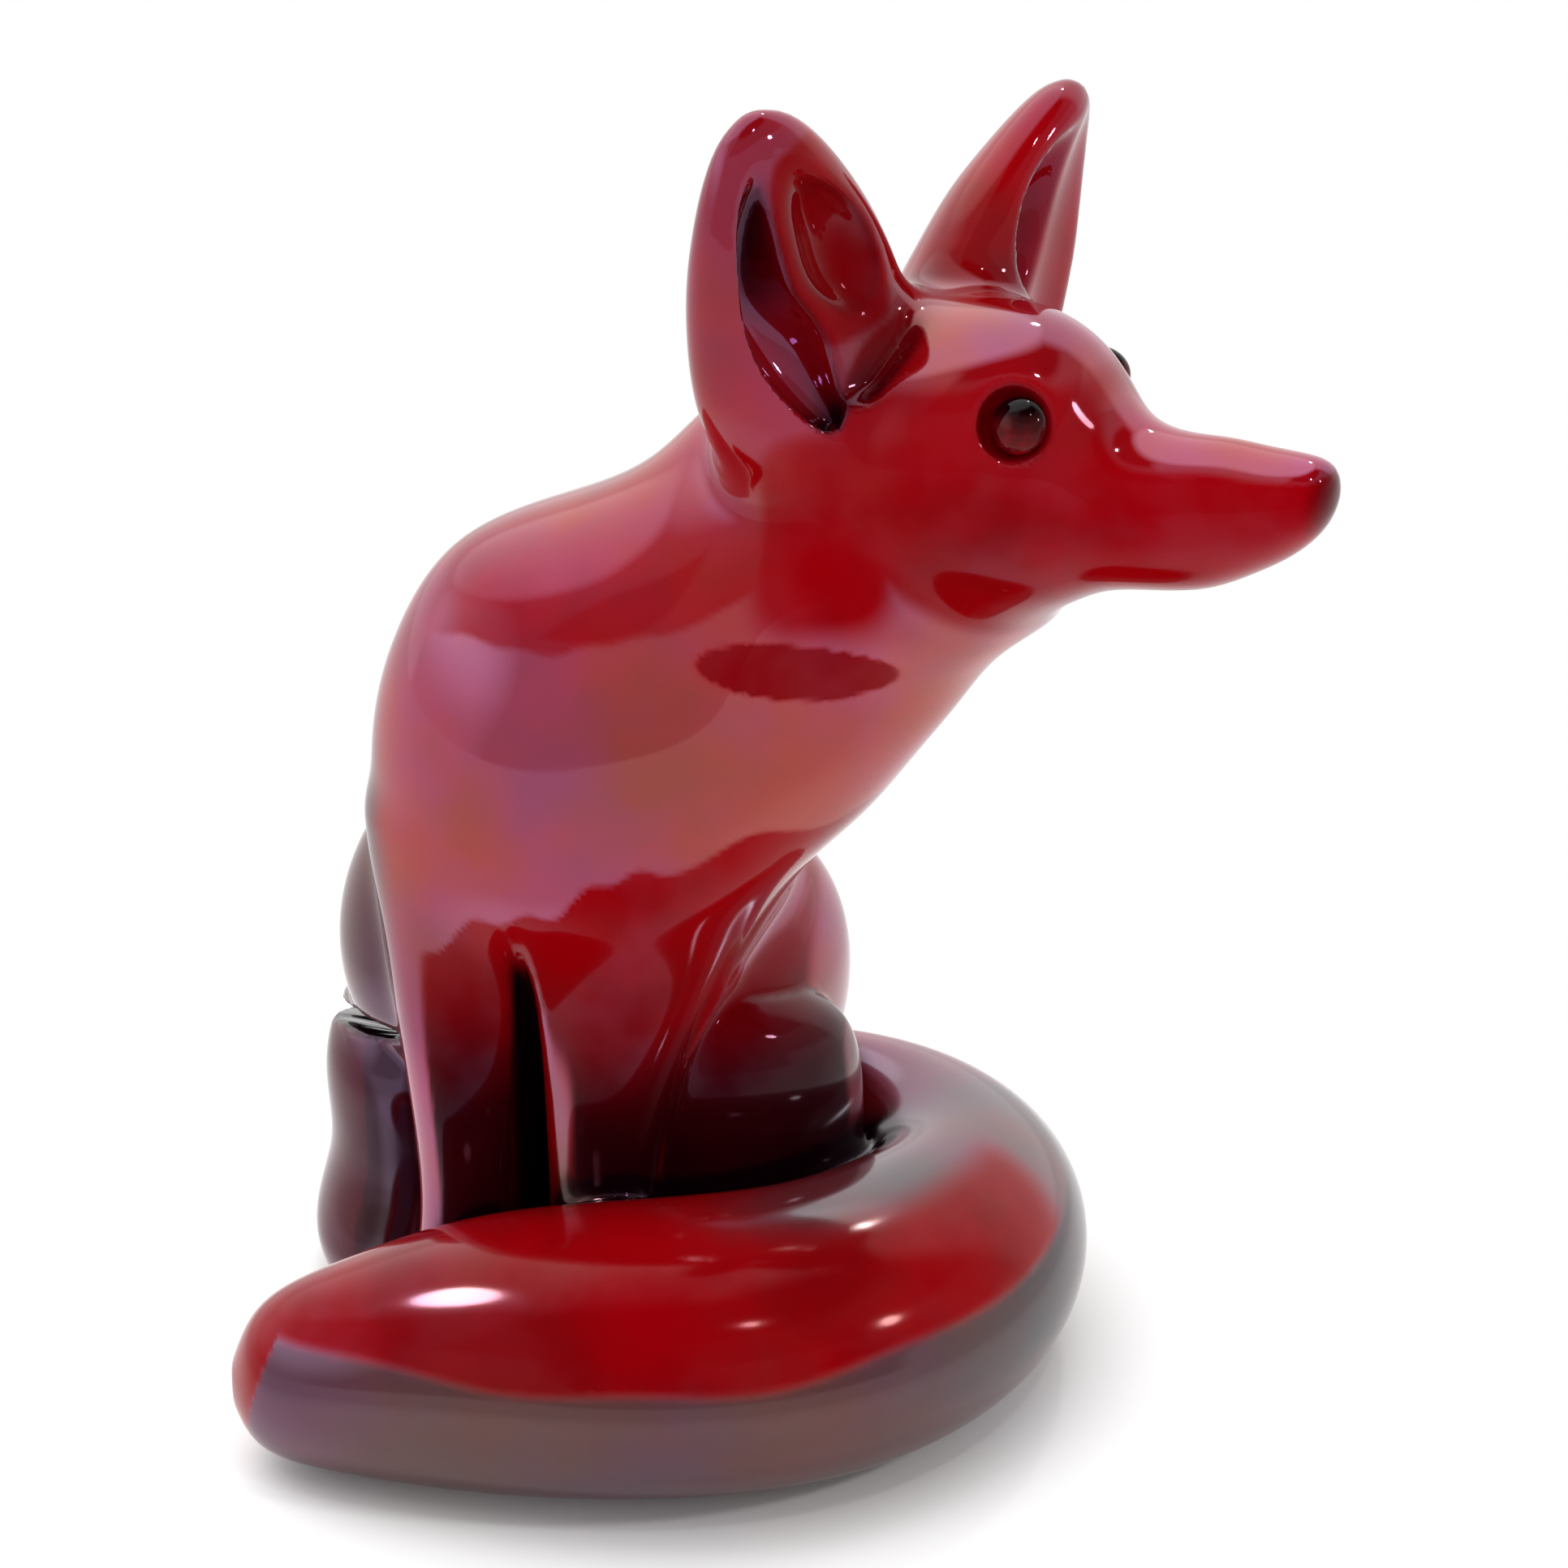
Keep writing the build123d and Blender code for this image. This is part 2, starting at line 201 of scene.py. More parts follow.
# The hollows in an ear's face, each from its foot to its top, in shares: inwards of ear_width, outwards of
# the ear's depth, up of its height, and then half the hollow's width and depth of the first two. The right
# ear is dished all over, with a deeper dish inside. The left ear has one deep mouth.
ear_face_shares = np.array([
    (0.02, 0.52, 0.18, 0.05, 0.05),
    (0.03, 0.52, 0.30, 0.27, 0.16),
    (0.01, 0.50, 0.44, 0.34, 0.22),
    (-0.02, 0.47, 0.60, 0.31, 0.24),
    (-0.05, 0.42, 0.75, 0.22, 0.20),
    (-0.07, 0.36, 0.87, 0.11, 0.12),
    (-0.08, 0.30, 0.94, 0.02, 0.03),
])
ear_dish_shares = np.array([
    (0.20, 0.42, 0.34, 0.02, 0.04),
    (0.18, 0.40, 0.41, 0.10, 0.18),
    (0.15, 0.37, 0.52, 0.15, 0.27),
    (0.11, 0.35, 0.65, 0.13, 0.25),
    (0.06, 0.32, 0.77, 0.07, 0.14),
    (0.04, 0.30, 0.84, 0.02, 0.03),
])
ear_mouth_shares = np.array([
    (0.14, 0.46, 0.36, 0.03, 0.05),
    (0.16, 0.44, 0.43, 0.13, 0.36),
    (0.17, 0.40, 0.53, 0.18, 0.52),
    (0.16, 0.37, 0.64, 0.18, 0.50),
    (0.13, 0.34, 0.77, 0.14, 0.36),
    (0.08, 0.30, 0.88, 0.08, 0.16),
    (0.04, 0.26, 0.94, 0.02, 0.03),
])
# The deep fold behind an ear's outer rim, which runs down from the tip and turns in along the ear's foot
ear_fold_shares = np.array([
    (-0.07, 0.30, 0.93, 0.02, 0.04),
    (-0.13, 0.30, 0.83, 0.05, 0.18),
    (-0.18, 0.30, 0.66, 0.09, 0.36),
    (-0.20, 0.31, 0.48, 0.12, 0.42),
    (-0.16, 0.35, 0.34, 0.14, 0.36),
    (-0.14, 0.39, 0.23, 0.10, 0.24),
    (-0.12, 0.42, 0.14, 0.05, 0.10),
    (-0.11, 0.44, 0.10, 0.02, 0.03),
])
ear_hollows = {
    "right": ((ear_face_shares, 1.6), (ear_dish_shares, 0.8), (ear_fold_shares, 0.6)),
    "left": ((ear_mouth_shares, 1.0),),
}
ear_root_rounds = {"right": 0.12, "left": 0.42}  # how far down an ear's end is rounded off, in its heights
# The long bowl that hollows the far ear's open edge: its middle, along, left and up, its radii and its ways
ear_trims = {"left": (14.4, 21.7, 9.6)}
ear_trim_radii = np.array([20.0, 34.0, 14.0])
ear_trim_ways = np.array([(0.945, 0.228, -0.234), (0.103, 0.472, 0.876), (0.310, -0.852, 0.423)])
ear_root_shares = {"right": (-0.283, -0.275, 0.105), "left": (-0.231, 0.381, -0.015)}

foreleg_ring_shares = np.array([
    (0.00, 0.03, 0.00, 0.41, 0.46),
    (0.00, 0.00, 0.10, 0.44, 0.49),
    (0.00, -0.12, 0.25, 0.41, 0.39),
    (0.05, -0.26, 0.52, 0.45, 0.43),
    (0.15, -0.48, 0.75, 0.56, 0.54),
    (0.24, -0.82, 1.00, 0.66, 0.62),
])
hind_foot_ring_shares = np.array([
    (0.02, 0.04, 0.00, 0.45, 0.50),
    (0.04, 0.05, 0.14, 0.50, 0.53),
    (0.00, 0.00, 0.42, 0.48, 0.49),
    (0.00, 0.00, 0.74, 0.48, 0.48),
    (-0.02, -0.03, 0.93, 0.39, 0.39),
    (-0.04, -0.04, 1.00, 0.20, 0.22),
])
# The slot between the forelegs: half width, half depth and half height, as shares of a foreleg's own
foreleg_slot_shares = np.array([0.14, 0.75, 0.72])
tail_root_shares = (0.07, 0.28)
tail_ring_shares = np.array([
    (0.21, 0.41, 0.366, 0.230, 0.300),
    (0.48, 0.41, 0.388, 0.260, 0.350),
    (0.75, 0.30, 0.414, 0.310, 0.397),
    (0.97, 0.06, 0.448, 0.364, 0.448),
    (1.00, -0.23, 0.483, 0.436, 0.483),
    (0.82, -0.53, 0.500, 0.496, 0.500),
    (0.45, -0.73, 0.500, 0.500, 0.500),
    (0.04, -0.85, 0.466, 0.414, 0.466),
    (-0.235, -0.93, 0.412, 0.300, 0.372),
    (-0.395, -0.975, 0.370, 0.186, 0.266),
    (-0.460, -1.00, 0.345, 0.043, 0.078),
])

# The grid that the distances are kept on
spacing = 0.445
margin = 4.0
reach = 9.0  # distances are exact this far from each form's own surface
low_corner = np.floor((np.array(cad_box[0]) * METRE - margin) / spacing).astype(int)
high_corner = np.ceil((np.array(cad_box[1]) * METRE + margin) / spacing).astype(int)
grid_shape = tuple(high_corner - low_corner + 1)
axes = [np.arange(low_corner[k], high_corner[k] + 1, dtype=np.float32) * spacing for k in range(3)]
grid_x = axes[0][:, None, None]
grid_y = axes[1][None, :, None]
grid_z = axes[2][None, None, :]


def unit(vectors):
    """The vectors divided by their lengths."""
    vectors = np.asarray(vectors, float)
    return vectors / np.linalg.norm(vectors, axis=-1, keepdims=True)


def turned(degrees):
    """Cosine and sine of an angle in degrees."""
    return np.cos(np.radians(degrees)), np.sin(np.radians(degrees))


def spline(rows, samples):
    """A natural cubic spline through the rows, which are spaced by how far each is from the last. Between
    two rows it is their straight mix plus cubic terms in the second derivatives, which are found all
    together from the condition that the slope is the same on both sides of every row."""
    rows = np.asarray(rows, float)
    steps = np.linalg.norm(np.diff(rows, axis=0), axis=1)
    places = np.r_[0, np.cumsum(steps)]
    slopes = np.diff(rows, axis=0) / steps[:, None]
    system = np.eye(len(rows))
    right = np.zeros_like(rows)
    inner = np.arange(1, len(rows) - 1)
    system[inner, inner] = 2 * (steps[:-1] + steps[1:])
    system[inner, inner - 1] = steps[:-1]
    system[inner, inner + 1] = steps[1:]
    right[1:-1] = 6 * np.diff(slopes, axis=0)
    bends = np.linalg.solve(system, right)
    at = np.linspace(0, places[-1], samples)
    k = np.clip(np.searchsorted(places, at, side="right") - 1, 0, len(steps) - 1)
    step = steps[k][:, None]
    ahead = (places[k + 1] - at)[:, None] / step
    behind = 1 - ahead
    curve = ahead * rows[k] + behind * rows[k + 1]
    curve += step ** 2 / 6 * ((ahead ** 3 - ahead) * bends[k] + (behind ** 3 - behind) * bends[k + 1])
    return curve


def oval_surface(middles, widths, depths, steps=260, turns=120):
    """Points of a tube of oval rings: middle + width * cos(turn) + depth * sin(turn), where the three
    vectors run on one spline from ring to ring. Each end closes on its own middle."""
    rows = spline(np.hstack([middles, widths, depths]), steps)
    turn = np.linspace(0, 2 * np.pi, turns, endpoint=False)[None, :, None]
    grid = rows[:, None, 0:3] + rows[:, None, 3:6] * np.cos(turn) + rows[:, None, 6:9] * np.sin(turn)
    points = np.vstack([grid.reshape(-1, 3), rows[0, 0:3], rows[-1, 0:3]])
    here = np.arange(steps * turns).reshape(steps, turns)
    beside = np.roll(here, -1, axis=1)
    sides_a = np.stack([here[:-1], beside[:-1], beside[1:]], -1).reshape(-1, 3)
    sides_b = np.stack([here[:-1], beside[1:], here[1:]], -1).reshape(-1, 3)
    first = np.stack([np.full(turns, steps * turns), beside[0], here[0]], -1)
    last = np.stack([np.full(turns, steps * turns + 1), here[-1], beside[-1]], -1)
    return points, np.vstack([sides_a, sides_b, first, last])


def distances(surface):
    """The signed distance from a closed surface at every grid point, below zero inside, up to the reach."""
    points, triangles = surface
    level_set = openvdb.FloatGrid.createLevelSetFromPolygons(
        points.astype(np.float32),
        triangles=triangles.astype(np.uint32),
        transform=openvdb.createLinearTransform(spacing),
        halfWidth=reach / spacing,
    )
    field = np.empty(grid_shape, np.float32)
    level_set.copyToArray(field, ijk=tuple(int(c) for c in low_corner))
    return field


def ball(middle, radii, ways=np.eye(3)):
    """Distances from a stretched ball: with k0 the length of the point divided by the radii, and k1 its
    length divided by their squares, the distance is about k0 * (k0 - 1) / k1."""
    offset = [grid_x - middle[0], grid_y - middle[1], grid_z - middle[2]]
    k0 = np.float32(0)
    k1 = np.float32(0)
    for way, radius in zip(np.asarray(ways, float), radii):
        along = sum(np.float32(way[k]) * offset[k] for k in range(3))
        k0 = k0 + (along / np.float32(radius)) ** 2
        k1 = k1 + (along / np.float32(radius ** 2)) ** 2
    k0 = np.sqrt(k0)
    return k0 * (k0 - 1) / np.maximum(np.sqrt(k1), np.float32(1e-6))


def joined(one, other, blend):
    """The union of two forms, with a fillet where their distances differ by less than the blend."""
    near = np.maximum(blend - np.abs(one - other), 0) / blend
    return np.minimum(one, other) - near ** 2 * blend / 4


def carved(one, other, blend):
    """The first form less the second, with the edge rounded in the same way."""
    return -joined(-one, other, blend)


def body_rows():
    """The torso's rings: middles, width and depth vectors."""
    across, back, up, half_width, half_depth, lean, turn = body_ring_shares.T
    middles = np.stack([across * neck_reach, back * body_depth, up * body_height], -1)
    cos_turn, sin_turn = turned(turn * shoulder_twist)
    cos_lean, sin_lean = turned(lean * neck_lean)
    width_ways = np.stack([cos_lean * cos_turn, cos_lean * sin_turn, -sin_lean], -1)
    depth_ways = np.stack([-sin_turn, cos_turn, np.zeros_like(turn)], -1)
    widths = width_ways * (half_width * body_width)[:, None]
    depths = depth_ways * (half_depth * body_depth)[:, None]
    return middles, widths, depths


torso_middles, torso_widths, torso_depths = body_rows()
seam_middle = torso_middles[-1]
head_middle = seam_middle + (head_forward, -head_set, head_rise)
cos_head, sin_head = turned(head_turn)
muzzle_way = np.array([sin_head, -cos_head, 0.0])
cheek_way = np.array([cos_head, sin_head, 0.0])
up_way = np.array([0.0, 0.0, 1.0])
head_ways = np.array([muzzle_way, cheek_way, up_way])


def in_head(along, left, up):
    """A place in the head's own frame, in millimetres from the skull's middle."""
    return head_middle + np.asarray([along, left, up]) @ head_ways


def torso_surface():
    """The torso and neck, up to a smaller ring in the middle of the skull."""
    way = unit(head_middle - seam_middle)
    width_way = unit(torso_widths[-1] - (torso_widths[-1] @ way) * way)
    depth_way = np.cross(way, width_way)
    width = neck_end_share * np.linalg.norm(torso_widths[-1]) * width_way
    depth = neck_end_share * np.linalg.norm(torso_depths[-1]) * depth_way
    middles = np.vstack([torso_middles, head_middle])
    return oval_surface(middles, np.vstack([torso_widths, width]), np.vstack([torso_depths, depth]))


def head_surface():
    """The head's rings, square to the muzzle."""
    along, up, half_height, half_width = head_ring_shares.T
    middles = head_middle + np.outer(along * head_length, muzzle_way) + np.outer(up * head_height, up_way)
    widths = np.outer(half_width * head_width, cheek_way)
    return oval_surface(middles, widths, np.outer(half_height * head_height, up_way))


def ear_frame(side):
    """An ear's root, and its ways inwards across the face, outwards from it, and up to the tip."""
    sign = sides[side]
    along, left, up = ear_root_shares[side]
    root = in_head(along * head_length, left * head_width, up * head_height)
    cos_splay, sin_splay = turned(ear_splays[side])
    cos_turn, sin_turn = turned(ear_turns[side])
    tip_way = unit(np.array([turned(ear_sweeps[side])[1], sign * sin_splay, cos_splay]) @ head_ways)
    facing = np.array([cos_turn, sign * sin_turn, 0]) @ head_ways
    inwards = unit(np.cross(facing, tip_way)) * sign
    return root, np.array([inwards, np.cross(tip_way, inwards) * sign, tip_way])


def ear_surface(side):
    """An ear's rings, from inside the skull to the tip. Below the first ring its end is rounded off: the
    rings shrink there as an ellipse's do."""
    root, (inwards, out, tip_way) = ear_frame(side)
    rounding = np.array([0.998, 0.9, 0.65, 0.33])
    capped = np.sqrt(1 - rounding ** 2)[:, None] * ear_ring_shares[0, 1:]
    capped = np.hstack([-rounding[:, None] * ear_root_rounds[side], capped])
    up, half_width, half_depth = np.vstack([capped, ear_ring_shares]).T
    middles = root + np.outer(up * ear_heights[side], tip_way)
    widths = np.outer(half_width * ear_width, inwards)
    return oval_surface(middles, widths, np.outer(half_depth * ear_depths[side], out))


def ear_carving(side, shares):
    """A long hollow in an ear's face: ovals square to the path of their middles, with the table's sizes."""
    root, ways = ear_frame(side)
    whole = np.array([ear_width, ear_depths[side], ear_heights[side]])
    middles = root + (shares[:, 0:3] * whole) @ ways
    paths = np.gradient(middles, axis=0)
    across = unit(np.cross(paths, ways[1]))
    depth_ways = unit(np.cross(across, paths))
    widths = across * shares[:, 3:4] * ear_width
    return oval_surface(middles, widths, depth_ways * shares[:, 4:5] * ear_depths[side])


def foreleg_surface(side):
    """A foreleg's level rings, from the paw into the chest."""
    sign = sides[side]
    cos_turn, sin_turn = turned(foreleg_turn)
    outwards, forwards, up, half_width, half_depth = foreleg_ring_shares.T
    x = foreleg_side + sign * foreleg_spacing / 2 * cos_turn + sign * outwards * foreleg_width
    y = -foreleg_front + sign * foreleg_spacing / 2 * sin_turn - forwards * foreleg_depth
    middles = np.stack([x, y, up * foreleg_height], -1)
    widths = np.outer(half_width * foreleg_width, (1, 0, 0))
    return oval_surface(middles, widths, np.outer(half_depth * foreleg_depth, (0, 1, 0)))


def hind_foot_surface(side):
    """A hind foot's rings, level on the ground and dipping to the heel at the top, under the haunch."""
    sign = sides[side]
    width, length = hind_foot_widths[side], hind_foot_lengths[side]
    cos_turn, sin_turn = turned(hind_foot_turns[side])
    width_way = np.array([cos_turn, sin_turn, 0])
    depth_way = np.array([-sin_turn, cos_turn, 0])
    outwards, forwards, up, half_width, half_length = hind_foot_ring_shares.T
    outer = loin_share * body_width + hind_foot_prouds[side]
    middles = np.array([sign * (outer - width / 2), -hind_foot_fronts[side], 0])
    middles = middles + np.outer(sign * outwards * width, width_way)
    middles = middles + np.outer(-forwards * length, depth_way)
    middles = middles + np.outer(up * hind_foot_height * hind_foot_rises[side], up_way)
    widths = np.outer(half_width * width, width_way)
    depths = np.outer(half_length * length, depth_way)
    depths[:, 2] = -half_length * length * hind_foot_dips[side] * up
    return oval_surface(middles, widths, depths)


def tail_surface():
    """The tail's upright rings, each square to the way its middle line runs there."""
    left, back = tail_root_shares
    first = tail_ring_shares[0]
    middles = tail_ring_shares[:, 0:3] * (tail_side, tail_front, tail_height) - (0, 0, foot_flat)
    middles = np.vstack([[left * body_width, back * body_depth, middles[0, 2]], middles])
    sizes = np.vstack([first[3:5], tail_ring_shares[:, 3:5]]) * (tail_width, tail_height)
    ways = np.vstack([middles[1] - middles[0], middles[2:] - middles[:-2], middles[-1] - middles[-2]])
    across = unit(np.cross(ways * (1, 1, 0), up_way))
    return oval_surface(middles, across * sizes[:, :1], np.outer(sizes[:, 1], up_way), steps=400)


def haunch(side):
    """Distances from a haunch, a stretched ball."""
    outer = loin_share * body_width + haunch_prouds[side]
    middle = (sides[side] * (outer - haunch_width / 2), haunch_backs[side], haunch_ups[side])
    return ball(middle, (haunch_width / 2, haunch_length / 2, haunch_height / 2))


def eye_frame(side):
    """An eye's place on the head's surface, and two ways across it and the way it looks out."""
    sign = sides[side]
    cos_angle, sin_angle = turned(eye_height_angle)
    half_height = eye_half_height_share * head_height
    half_width = eye_half_width_share * head_width
    place = in_head(eye_ring_share * head_length, sign * half_width * cos_angle, half_height * sin_angle)
    out = unit(np.array([0, sign * cos_angle / half_width, sin_angle / half_height]) @ head_ways)
    across = unit(np.cross(out, up_way))
    return place, np.array([across, np.cross(out, across), out])


def crease():
    """Distances from a thin tilted disc that bites in where a haunch folds over its foot."""
    cos_tilt, sin_tilt = turned(crease_tilt)
    outer = loin_share * body_width + hind_foot_prouds[crease_side]
    x = sides[crease_side] * (outer - crease_width / 4)
    y = -hind_foot_fronts[crease_side] - hind_foot_lengths[crease_side] / 4
    ways = np.array([(1, 0, 0), (0, cos_tilt, -sin_tilt), (0, sin_tilt, cos_tilt)])
    return ball((x, y, crease_up), (crease_width / 2, crease_length / 2, crease_gap / 2), ways)


def part_fields():
    """The distances from each section that is luted to the torso."""
    parts = {"head": distances(head_surface()), "tail": distances(tail_surface())}
    for side in sides:
        parts[f"{side}_ear"] = distances(ear_surface(side))
        if side in ear_trims:
            trim = ball(in_head(*ear_trims[side]), ear_trim_radii, ear_trim_ways)
            parts[f"{side}_ear"] = carved(parts[f"{side}_ear"], trim, fillets["ear_trim"])
        parts[f"{side}_foreleg"] = distances(foreleg_surface(side))
        parts[f"{side}_haunch"] = haunch(side)
        parts[f"{side}_hind_foot"] = distances(hind_foot_surface(side))
    return parts


def fox_field(parts):
    """The whole skin: every section joined to what it is luted to, then the hollows carved."""
    field = joined(distances(torso_surface()), parts["head"], fillets["neck"])
    forelegs = joined(parts["right_foreleg"], parts["left_foreleg"], fillets["between_forelegs"])
    field = joined(field, forelegs, fillets["forelegs"])
    slot_middle = (foreleg_side, -foreleg_front - foreleg_depth / 4, foreleg_height / 7)
    slot_radii = foreleg_slot_shares * (foreleg_width, foreleg_depth, foreleg_height)
    field = carved(field, ball(slot_middle, slot_radii), fillets["foreleg_slot"])
    for side in sides:
        field = joined(field, parts[f"{side}_haunch"], fillets["haunch"])
        field = joined(field, parts[f"{side}_hind_foot"], fillets["hind_foot"])
        if side == crease_side:
            field = carved(field, crease(), fillets["crease"])
    field = joined(field, parts["tail"], fillets["tail"])
    for side in sides:
        field = joined(field, parts[f"{side}_ear"], fillets["ear"])
        for shares, rounding in ear_hollows[side]:
            field = carved(field, distances(ear_carving(side, shares)), rounding)
    for side in sides:
        place, ways = eye_frame(side)
        socket = ball(place, (eye_socket / 2, eye_socket / 2, eye_socket_depth), ways)
        field = carved(field, socket, fillets["eye_socket"])
    bore = np.maximum(np.hypot(grid_x, grid_y - vent_back) - vent_bore / 2, grid_z - vent_depth)
    return np.maximum(np.maximum(field, -bore), -grid_z)


def softened(field):
    """The field after one pass of a small bell-shaped average along each way, as glaze softens an edge."""
    for axis in range(3):
        ahead = np.roll(field, -1, axis)
        behind = np.roll(field, 1, axis)
        field = (field * 2 + ahead + behind) / 4
    return field


def sampled(volume, points):
    """The volume's value at each point, mixed from the eight grid values round it."""
    place = points / spacing - low_corner
    base = np.clip(np.floor(place).astype(int), 0, np.array(volume.shape[:3]) - 2)
    part = place - base
    value = 0
    for corner in np.ndindex(2, 2, 2):
        weight = np.prod(np.where(corner, part, 1 - part), axis=1)
        i, j, k = (base + corner).T
        found = volume[i, j, k]
        value = value + (found * weight[:, None] if found.ndim == 2 else found * weight)
    return value


def zero_level(field):
    """Quads over the field's zero level."""
    volume = openvdb.FloatGrid(reach)
    volume.transform = openvdb.createLinearTransform(spacing)
    volume.copyFromArray(field, ijk=tuple(int(c) for c in low_corner))
    points, quads = volume.convertToQuads()
    return points.astype(float), quads.astype(int)


def skin_mesh(field, slopes):
    """Quads over the fox's skin. Each point is moved along the slope until the field is zero there, by its
    value over the slope's squared length."""
    points, quads = zero_level(field)
    for _ in range(3):
        slope = sampled(slopes, points)
        step = sampled(field, points) / np.maximum((slope ** 2).sum(1), 0.25)
        points -= slope * np.clip(step, -spacing / 2, spacing / 2)[:, None]
    return points, quads


def block(name, points, quads):
    """A mesh object to cut with or to be cut, in millimetres, outside the scene's own pieces."""
    mesh = bpy.data.meshes.new(name)
    mesh.from_pydata(points.tolist(), [], quads.tolist())
    piece = bpy.data.objects.new(name, mesh)
    bpy.context.scene.collection.objects.link(piece)
    return piece


def cut(piece, tool, operation):
    """The mesh that is left of a block after a cut by another, which shares its new faces exactly."""
    modifier = piece.modifiers.new("cut", "BOOLEAN")
    modifier.operation = operation
    modifier.solver = "MANIFOLD"
    modifier.object = tool
    graph = bpy.context.evaluated_depsgraph_get()
    mesh = bpy.data.meshes.new_from_object(piece.evaluated_get(graph))
    piece.modifiers.remove(modifier)
    return mesh


def sections(points, quads, parts):
    """The skin cut into its sections: each is what lies inside its own form, grown past its fillet, and
    the torso is what stays."""
    rest = block("rest", points, quads)
    found = {}
    for name, grown in section_growths.items():
        tool = block("tool", *zero_level(parts[name] - np.float32(grown)))
        found[name] = cut(rest, tool, "INTERSECT")
        rest.data = cut(rest, tool, "DIFFERENCE")
        bpy.data.objects.remove(tool)
    found["body"] = rest.data
    bpy.data.objects.remove(rest)
    return found


def add_piece(name, mesh, material, node):
    """Puts a smooth-shaded mesh in the scene, riding on the fox and standing for its node."""
    mesh.polygons.foreach_set("use_smooth", np.ones(len(mesh.polygons), bool))
    mesh.materials.clear()
    mesh.materials.append(material)
    mesh.update()
    piece = bpy.data.objects.new(name, mesh)
    bpy.context.scene.collection.objects.link(piece)
    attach(piece, "root")
    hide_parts(node)
    return piece


def dress_section(mesh, field, slopes, parts):
    """Turns a section's mesh to metres and gives its skin the field's slope as normals, so that no seam
    shows, and its points the painted light and shade that the glaze is coloured by. Faces inside a seam keep
    their own normals. Shade is painted into the folds, and their reflections are painted darker."""
    count = len(mesh.vertices)
    points = np.empty(count * 3)
    mesh.vertices.foreach_get("co", points)
    points = points.reshape(-1, 3)
    normals = unit(sampled(slopes, points) + 1e-9)
    faces = len(mesh.polygons)
    middles = np.empty(faces * 3)
    mesh.polygons.foreach_get("center", middles)
    own_normals = np.empty(faces * 3)
    mesh.polygons.foreach_get("normal", own_normals)
    corners = np.empty(faces, int)
    mesh.polygons.foreach_get("loop_total", corners)
    loop_points = np.empty(len(mesh.loops), int)
    mesh.loops.foreach_get("vertex_index", loop_points)
    inner = np.repeat(np.abs(sampled(field, middles.reshape(-1, 3))) > seam_depth, corners)
    loop_normals = normals[loop_points]
    loop_normals[inner] = np.repeat(own_normals.reshape(-1, 3), corners, axis=0)[inner]
    mesh.vertices.foreach_set("co", (points / METRE).ravel())
    mesh.polygons.foreach_set("use_smooth", np.ones(faces, bool))
    mesh.update()
    mesh.normals_split_custom_set(loop_normals.tolist())
    # Painted light by area: reflections painted darker, reflections painted silvery grey, and painted shade
    painted_dark_reflection, painted_grey_reflection, darkened = painted_light(points, normals, parts)
    folds = hollowness(field, points, normals)
    # Reflections in the folds are painted darker too
    painted_dark_reflection = np.maximum(painted_dark_reflection, fold_dark_reflection * (1 - falling(folds, *fold_edges)))
    # The hollow attribute is painted shade: the folds' depth, or the areas' painted shade where that is more
    painted = {"hollow": np.maximum(folds, darkened), "painted_dark_reflection": painted_dark_reflection, "painted_grey_reflection": painted_grey_reflection}
    for name, values in painted.items():
        mesh.attributes.new(name, "FLOAT", "POINT").data.foreach_set("value", values.astype(np.float32))


def hollowness(field, points, normals):
    """How deep in a fold each point lies. The field at some way out along the normal, over that way, is 1 off
    a bulge and falls to 0 in a groove, and this is 1 less its mean over several ways."""
    open_share = sum(np.clip(sampled(field, points + normals * way) / way, 0, 1) for way in fold_reaches)
    return 1 - open_share / len(fold_reaches)


def within(points, middle, half_sizes, edge, ways=np.eye(3)):
    """1 inside a soft-cornered block and 0 outside. The measure is the fourth root of the sum of the fourth
    powers of the offsets over the half sizes, and the step from 1 to 0 is smooth over the edge's share."""
    offset = ((points - np.asarray(middle)) @ np.asarray(ways).T) / half_sizes
    out = (np.sqrt(np.sqrt((offset ** 4).sum(1))) - 1) / edge
    part = np.clip(out, 0, 1)
    return 1 - part * part * (3 - 2 * part)


def falling(values, low, high):
    """1 below low, 0 above high, and a smooth step between."""
    part = np.clip((values - low) / (high - low), 0, 1)
    return 1 - part * part * (3 - 2 * part)


def in_head_block(points, middle, half_sizes, edge):
    """The same for a block that is laid out in the head's own frame."""
    return within(points, in_head(*middle), half_sizes, edge, head_ways)


def head_areas(points, normals, parts):
    """The areas of painted light on the head: its sides, where the skin looks less than about 40 degrees up,
    with a patch on the neck, then the nose, the ears and the dish in the right ear."""
    on_head = falling(sampled(parts["head"], points), 0.8, 2.0)
    cheeks = falling(normals[:, 2], 0.56, 0.68) * on_head * in_head_block(points, *cheek_block)
    root, ways = ear_frame("right")
    ear_sizes = (ear_width, ear_depths["right"], ear_heights["right"])
    dish_middle = root + (np.array(dish_place) * ear_sizes) @ ways
    on_ears = [falling(sampled(parts[f"{side}_ear"], points), 0.4, 1.6) * ear_dark_reflection[side] for side in sides]
    return {
        "cheeks": np.maximum(cheeks, within(points, *neck_block)),
        "nose": in_head_block(points, *nose_block),
        "ears": np.maximum(*on_ears),
        "ear_dish": within(points, dish_middle, dish_half_sizes, dish_edge, ways),
    }


